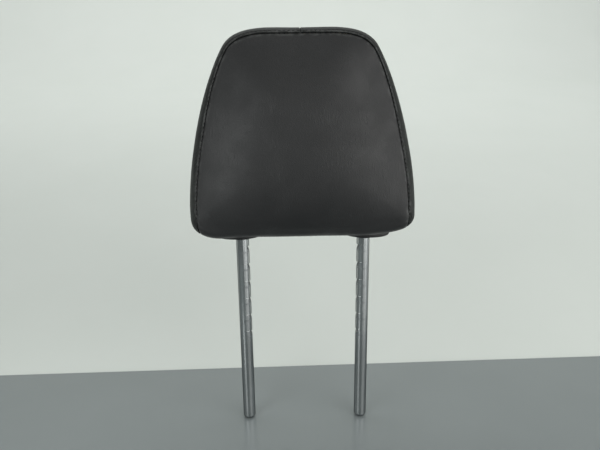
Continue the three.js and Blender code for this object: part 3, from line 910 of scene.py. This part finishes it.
def post(name, side, node, material, columns=44, crease=14):
    """A post with a rounded foot, clamped flats for its notches, a bore, and a saddle for the cross tube."""
    angles = np.radians(np.linspace(0, 90, 13))
    heights = []
    for i in range(NOTCH_COUNT):
        top = FIRST_NOTCH_TOP - i * NOTCH_PITCH
        steps = [
            -8.2, -6.9, -6.5, -5.9, -5.1, -4.3, -3.6, -3.1, -2.8, -2.0, -1.2, -0.6, -0.35, -0.18, -0.02,
            0.15, 0.5, 1.4,
        ]
        heights += [top + step for step in steps]
    heights += list(np.linspace(TIP_ROUND + 3, FIRST_NOTCH_TOP - 112, 14)) + list(np.linspace(218, 321, 16))
    heights = np.array(sorted(heights))
    rows = [
        (POST_RADIUS - TIP_ROUND + TIP_ROUND * math.sin(a), TIP_ROUND - TIP_ROUND * math.cos(a)) for a in angles
    ]
    rows = [(r, 0.0) for r in (0.0, 1.0, 2.0)] + rows + [(POST_RADIUS, z) for z in heights]
    saddle = len(rows)
    rows += [(POST_RADIUS, None), (POST_RADIUS - 0.3, None), (POST_BORE + 0.3, None), (POST_BORE, None)]
    rows += [(POST_BORE, z) for z in (318, 200, 80, 7.2, 6.8)]
    rows += [(POST_BORE - 0.4, 6.6), (2.0, 6.6), (0.0, 6.6)]
    q = np.arange(columns + 1)
    points = []
    for number, (radius, z) in enumerate(rows):
        outside = z is not None and number < saddle
        limit = float(notch_limit(np.array([z]))[0]) if outside else POST_RADIUS
        bend = math.acos(min(1, limit / POST_RADIUS)) if limit < POST_RADIUS else math.radians(43)
        bend = max(bend, math.radians(5))
        beyond = bend + (math.pi - bend) * (q - crease) / (columns - crease)
        theta = np.where(q <= crease, bend * q / crease, beyond)
        theta = np.concatenate([theta, -theta[-2:0:-1]])
        x, y = radius * np.cos(theta), radius * np.sin(theta)
        if number < saddle:
            x = np.minimum(x, limit)
        if z is None:
            drop = 0.25 if number in (saddle, saddle + 3) else 0.0
            height = TUBE_HEIGHT - np.sqrt(7.3**2 - y**2) - drop
        else:
            height = np.full_like(x, z)
        points.append(np.stack([POST_X * side - side * x, side * -y, height], -1))
    grid = np.array(points)
    index = np.arange(grid[..., 0].size).reshape(grid.shape[:2])
    flat = grid.reshape(-1, 3)
    faces = ring_faces(index)
    faces = [list(dict.fromkeys(f)) for f in faces.tolist()]
    mesh = mesh_object(name, flat, faces, material)
    shape = bmesh.new()
    shape.from_mesh(mesh.data)
    bmesh.ops.remove_doubles(shape, verts=shape.verts, dist=2e-6)
    bmesh.ops.recalc_face_normals(shape, faces=shape.faces)
    shape.to_mesh(mesh.data)
    shape.free()
    mesh.data.shade_smooth()
    mesh.data.set_sharp_from_angle(angle=math.radians(24))
    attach(mesh, "root")
    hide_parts(node)
    return mesh


# ---------------------------------------------------------------- bezels


def bezel(name, side, node, material, columns=120):
    """An oval trim ring with a rolled rim and a dished foot, and the collar that clips it into the carrier."""
    base, top, collar_top = POST_EXPOSED, POST_EXPOSED + 5.6, 239.6
    # Each row: oval half-length and half-depth, how far towards the oval (1) or the round collar (0), and height
    profile = [
        (9.4, 9.4, 0, base + 0.9), (9.7, 9.7, 0, base + 0.25), (10.2, 10.2, 0, base), (11.6, 11.6, 0.1, base),
        (12.2, 12.2, 0.15, base + 0.25), (12.6, 12.6, 0.2, base + 0.75), (13.2, 13.0, 0.3, base + 0.95),
        (19.5, 14.0, 0.9, base + 1.9), (20.6, 14.4, 0.95, base + 1.85), (21.2, 14.8, 1, base + 1.6),
        (21.9, 15.3, 1, base + 1.45), (22.6, 15.8, 1, base + 1.55), (23.3, 16.4, 1, base + 1.9),
        (23.8, 16.8, 1, base + 2.5), (24, 17, 1, base + 3.1), (24, 17, 1, base + 3.6), (23.9, 16.9, 1, base + 3.8),
        (23.55, 16.55, 1, base + 4.0), (23.5, 16.5, 1, base + 4.3), (23.85, 16.85, 1, base + 4.55),
        (23.85, 16.85, 1, top - 0.35), (23.5, 16.5, 1, top - 0.05), (22.5, 15.5, 1, top),
        (13.5, 13.0, 0.4, top), (11.4, 11.4, 0, top), (11.1, 11.1, 0, top + 0.3),
        (11.1, 11.1, 0, collar_top - 6.6), (12.5, 12.5, 0, collar_top - 6.4), (12.65, 12.65, 0, collar_top - 6.1),
        (11.2, 11.2, 0, collar_top - 4.0), (11.1, 11.1, 0, collar_top - 0.4), (10.8, 10.8, 0, collar_top),
        (9.4, 9.4, 0, collar_top), (9.15, 9.15, 0, collar_top - 0.3), (9.15, 9.15, 0, base + 1.3),
    ]
    angle = np.arange(columns) * 2 * np.pi / columns
    grid = np.array([
        np.stack([POST_X * side + side * 4.0 * oval + a * np.cos(angle), b * np.sin(angle), np.full(columns, z)], -1)
        for a, b, oval, z in profile
    ])
    index = np.arange(len(profile) * columns).reshape(len(profile), columns)
    index = np.concatenate([index, index[:1]])
    piece = mesh_object(name, grid.reshape(-1, 3), ring_faces(index, True), material, sharp_angle=50)
    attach(piece, "root")
    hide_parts(node)
    return piece


# ---------------------------------------------------------------- foam


def foam(material):
    """The moulded foam under the cover, hollowed from below for the carrier and the post collars."""
    normals = vertex_normals(SKIN_POINTS, SKIN_FACES)
    held = nearest(SKIN_POINTS, *SEAMS)[0]
    inset = 1.9 + 2.8 * np.exp(-held / 4)
    points = settled(SKIN_POINTS + SKIN_SHIFT) - inset[:, None] * normals
    core = mesh_object("foam_cushion", points, SKIN_FACES, material)
    corner = 12.0
    low, high, half = PAD_BASE - 5.0, 352.4, 79.6
    shape = [(-half, low), (half, low)]
    for cx, start in ((half - corner, 0), (-half + corner, 90)):
        for a in np.radians(np.linspace(start, start + 90, 7)):
            shape.append((cx + corner * math.cos(a), high - corner + corner * math.sin(a)))
    ring = np.array([[(x, y, z) for x, z in shape] for y in (-13.4, 13.4)])
    index = np.arange(2 * len(shape)).reshape(2, -1)
    faces = ring_faces(index).tolist() + [index[0].tolist(), index[1][::-1].tolist()]
    cavity = mesh_object("cavity", ring.reshape(-1, 3), faces, material, smooth=False)
    body = bmesh.new()
    body.from_mesh(cavity.data)
    bmesh.ops.recalc_face_normals(body, faces=body.faces)
    body.to_mesh(cavity.data)
    body.free()
    hollow = core.modifiers.new("hollow", "BOOLEAN")
    hollow.operation, hollow.solver, hollow.object = "DIFFERENCE", "EXACT", cavity
    bpy.context.view_layer.update()
    made = bpy.data.meshes.new_from_object(core.evaluated_get(bpy.context.evaluated_depsgraph_get()))
    core.modifiers.clear()
    core.data = made
    bpy.data.objects.remove(cavity)
    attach(core, "root")
    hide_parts("foam_core")


# ---------------------------------------------------------------- assembly

leather = leather_finish("black_leather", (0.0120, 0.0121, 0.0128), (0.0190, 0.0192, 0.0198))
# The boxing bands take the panels' leather with a darker, greener colour: painted shade where the bands turn away
# from the light. They also get less gloss and no sheen.
shaded_boxing_leather = leather_finish(
    "black_leather_boxing_painted_shade", (0.0085, 0.0100, 0.0090), (0.0130, 0.0146, 0.0136), (0.54, 0.66), 0.36, 0.0
)
thread = thread_finish()
chrome = chrome_finish()
bezel_plastic = moulded_finish("bezel_plastic", (0.008, 0.008, 0.0085), (0.014, 0.014, 0.015), 0.42)

face_panel("leather_front_panel", -1, "cover_front", leather)
face_panel("leather_back_panel", 1, "cover_back", leather)
right_boxing, right_rows = boxing("leather_boxing_right", 1, "cover_boxing_right", shaded_boxing_leather)
left_boxing, left_rows = boxing("leather_boxing_left", -1, "cover_boxing_left", shaded_boxing_leather)
for seam in ("front", "rear"):
    stitching("stitching_" + seam, [right_rows[seam], left_rows[seam]], thread)
foam(foam_finish())
post("chrome_post_left", -1, "left_post", chrome)
post("chrome_post_right", 1, "right_post", chrome)
bezel("trim_ring_left", -1, "left_bezel", bezel_plastic)
bezel("trim_ring_right", 1, "right_bezel", bezel_plastic)

inner_finishes = {
    "cross_tube": steel_finish("drawn_tube", (0.26, 0.26, 0.27), (0.40, 0.40, 0.41), 0.42),
    "carrier_screw": steel_finish("screw_zinc", (0.46, 0.47, 0.48), (0.62, 0.63, 0.64), 0.33),
    "carrier_": moulded_finish("carrier_plastic", (0.035, 0.037, 0.04), (0.055, 0.058, 0.06), 0.55, 1500, 0.0001),
    "tube_liner": moulded_finish("liner_rubber", (0.010, 0.010, 0.010), (0.018, 0.018, 0.018), 0.82, 900, 0.00012),
    "left_post_bush": moulded_finish("bush_plastic", (0.58, 0.56, 0.48), (0.68, 0.66, 0.58), 0.46),
    "closure_strip": moulded_finish("strip_plastic", (0.009, 0.009, 0.010), (0.016, 0.016, 0.017), 0.48, 1800),
}
inner_finishes["right_post_bush"] = inner_finishes["left_post_bush"]
for node_name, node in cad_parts.items():
    for start, finish in inner_finishes.items():
        if node_name.startswith(start):
            node.data.materials.clear()
            node.data.materials.append(finish)
            break
